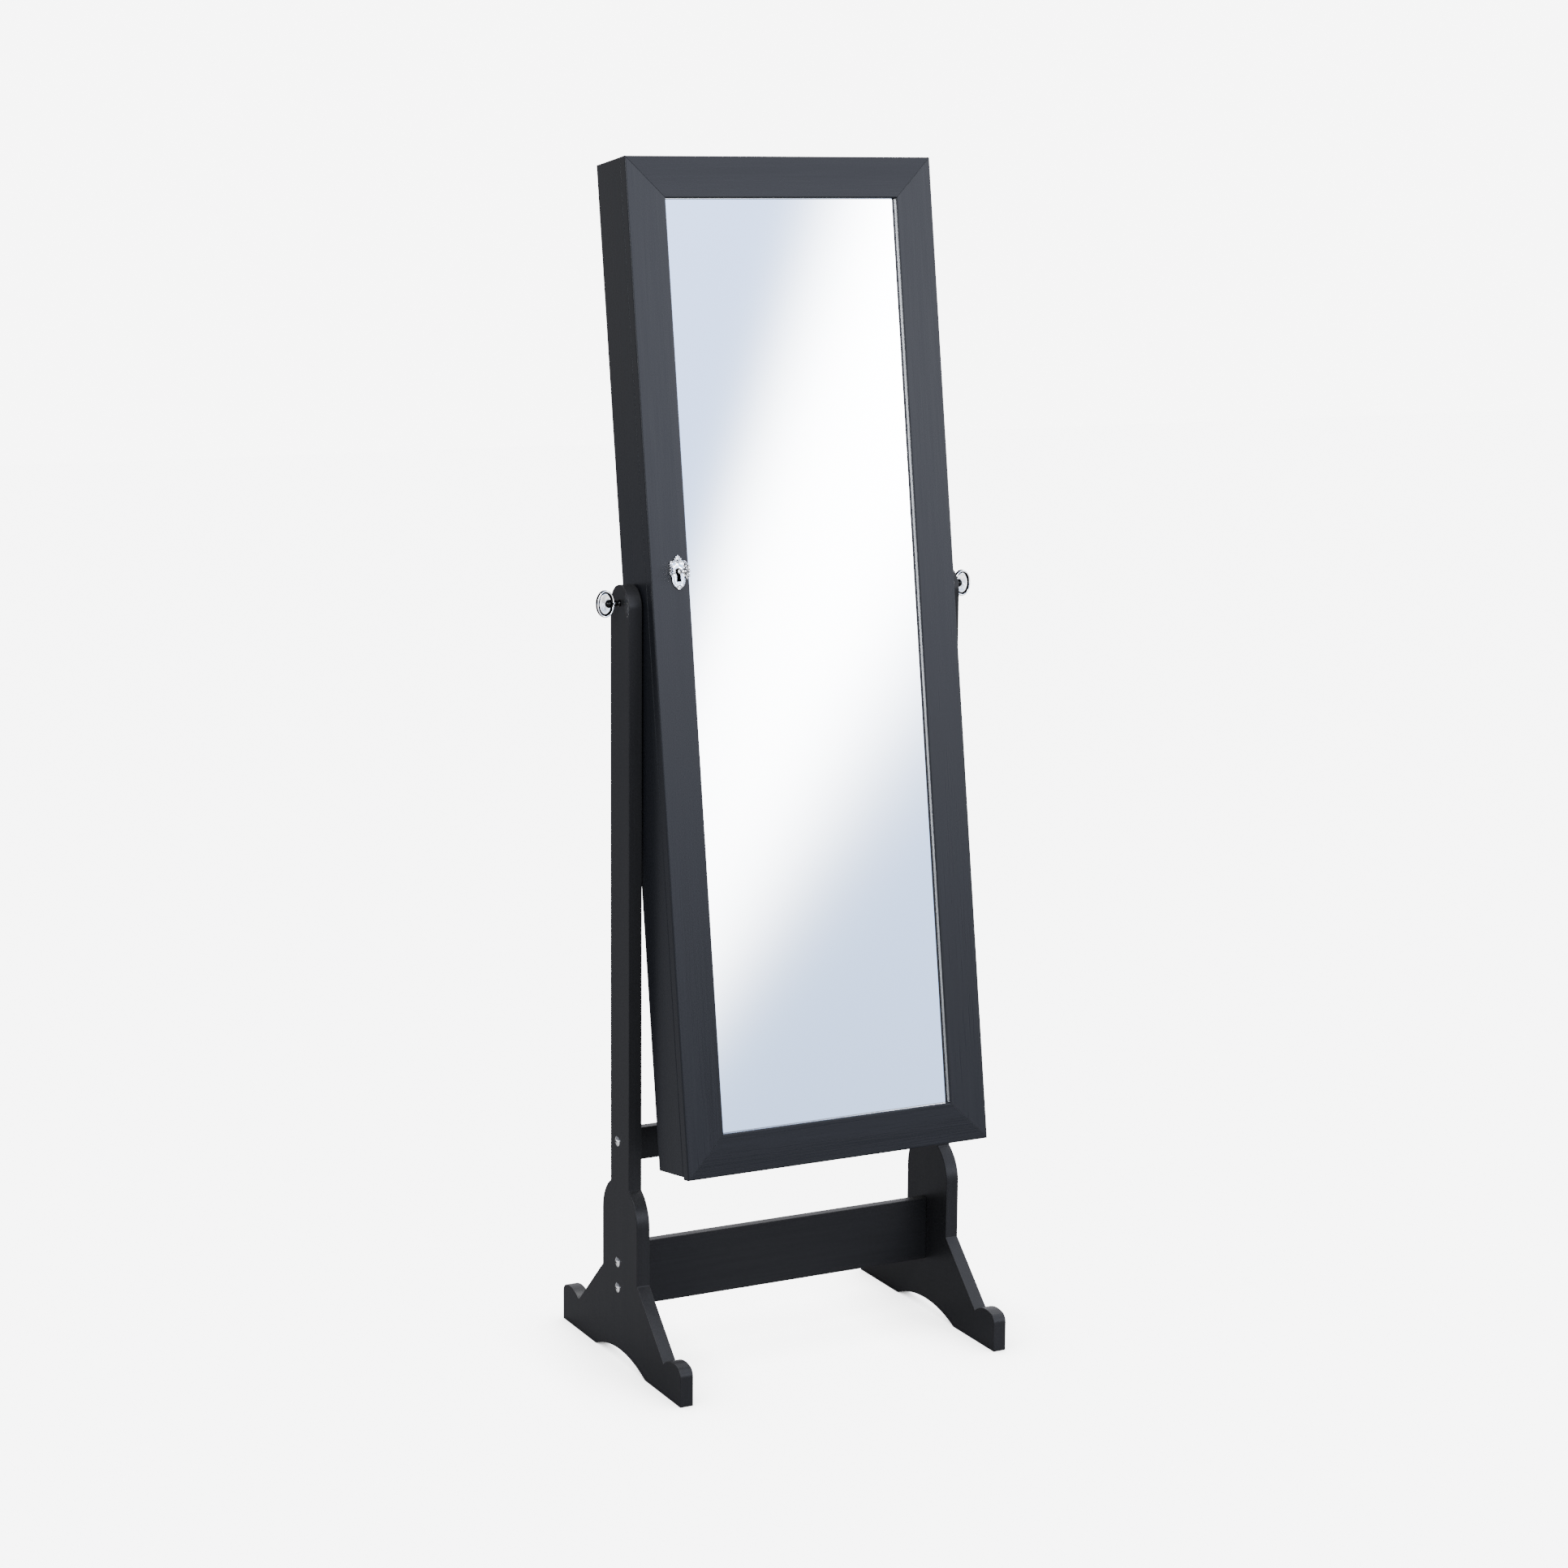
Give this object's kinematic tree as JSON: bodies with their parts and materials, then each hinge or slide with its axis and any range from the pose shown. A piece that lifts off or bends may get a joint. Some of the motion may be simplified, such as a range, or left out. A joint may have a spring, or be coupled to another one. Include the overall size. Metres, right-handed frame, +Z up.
{
  "type": "cheval mirror cabinet",
  "caption": "Full-length mirror on the lockable door of a shallow jewellery cabinet that tilts between two footed side panels, held by oval thumb knobs.",
  "frame": {"origin": "on the floor, midway between the side panels and midway between the front and back ends of the feet", "axes": "+X to the right for a person who looks into the mirror, +Y away from that person, +Z up"},
  "size_m": [0.53, 0.361, 1.5233],
  "materials": {
    "stand_lacquer": "satin black lacquer",
    "cabinet_lacquer": "satin blue-black lacquer",
    "inner_lacquer": "matt black",
    "back_board": "matt hardboard",
    "velvet": "black velvet",
    "silvered_glass": "polished",
    "chrome_trim": "polished",
    "bright_steel": "zinc plated",
    "lock_steel": "brushed",
    "insert_brass": "turned",
    "black_nylon": "matt",
    "white_plastic": "matt",
    "beech": "bare"
  },
  "bodies": {
    "stand": {"side_panel_left": "stand_lacquer", "side_panel_right": "stand_lacquer", "upper_rail": "stand_lacquer", "lower_rail": "stand_lacquer", "rail_bolts": "bright_steel", "rail_dowels": "beech"},
    "cabinet": {"cabinet_left": "cabinet_lacquer", "cabinet_right": "cabinet_lacquer", "cabinet_top": "cabinet_lacquer", "cabinet_bottom": "cabinet_lacquer", "cabinet_back": "back_board", "back_lining": "velvet", "shelf_1": "inner_lacquer", "shelf_2": "inner_lacquer", "shelf_3": "inner_lacquer", "shelf_4": "inner_lacquer", "divider_left": "inner_lacquer", "divider_right": "inner_lacquer", "tray_lip": "inner_lacquer", "hook_rail_upper": "inner_lacquer", "hook_rail_lower": "inner_lacquer", "hooks_upper": "bright_steel", "hooks_lower": "bright_steel", "ring_cushion": "velvet", "bracelet_bar": "inner_lacquer", "bar_cups": "bright_steel", "pivot_inserts": "insert_brass", "pivot_washers": "black_nylon", "lock_keeper": "bright_steel", "magnet_catch": "white_plastic", "cabinet_hinge_leaves": "bright_steel", "door_bumpers": "white_plastic"},
    "door": {"door_rail_top": "cabinet_lacquer", "door_rail_bottom": "cabinet_lacquer", "door_stile_left": "cabinet_lacquer", "door_stile_right": "cabinet_lacquer", "mirror_glass": "silvered_glass", "mirror_backing": "back_board", "backing_clips": "bright_steel", "door_hinge_leaves": "bright_steel", "hinge_pins": "bright_steel", "strike_plate": "bright_steel", "lock_case": "lock_steel", "keyhole_plate": "chrome_trim", "plate_pins": "chrome_trim"},
    "follower": {"lock_follower": "insert_brass"},
    "key": {"key": "chrome_trim"},
    "bolt": {"lock_bolt": "insert_brass"},
    "knob_left": {"knob_left": "chrome_trim"},
    "knob_right": {"knob_right": "chrome_trim"}
  },
  "joints": [
    {"name": "tilt", "type": "hinge", "parent": "stand", "child": "cabinet", "pos_m": [0, 0, 0.98], "axis": [-1, 0, 0], "range_deg": [-5.8, 9]},
    {"name": "door_swing", "type": "hinge", "parent": "cabinet", "child": "door", "pos_m": [0.2157, -0.03707, 0.98567], "axis": [0, 0.1513, 0.9885], "range_deg": [0, 105]},
    {"name": "key_turn", "type": "hinge", "parent": "door", "child": "follower", "pos_m": [-0.176, -0.02352, 1.01799], "axis": [0, -0.9885, 0.1513], "range_deg": [0, 180]},
    {"name": "key_pull", "type": "slide", "parent": "follower", "child": "key", "axis": [0, -0.9885, 0.1513], "range_m": [0, 0.03]},
    {"name": "bolt_throw", "type": "slide", "parent": "door", "child": "bolt", "axis": [-1, 0, 0], "range_m": [0, 0.006]},
    {"name": "knob_left_turn", "type": "hinge", "parent": "stand", "child": "knob_left", "pos_m": [-0.2335, 0, 0.98], "axis": [-1, 0, 0], "continuous": true},
    {"name": "knob_right_turn", "type": "hinge", "parent": "stand", "child": "knob_right", "pos_m": [0.2335, 0, 0.98], "axis": [1, 0, 0], "continuous": true}
  ],
  "couplings": [
    {"joint": "bolt_throw", "follows": "key_turn", "m_per_rad": 0.0019079}
  ]
}
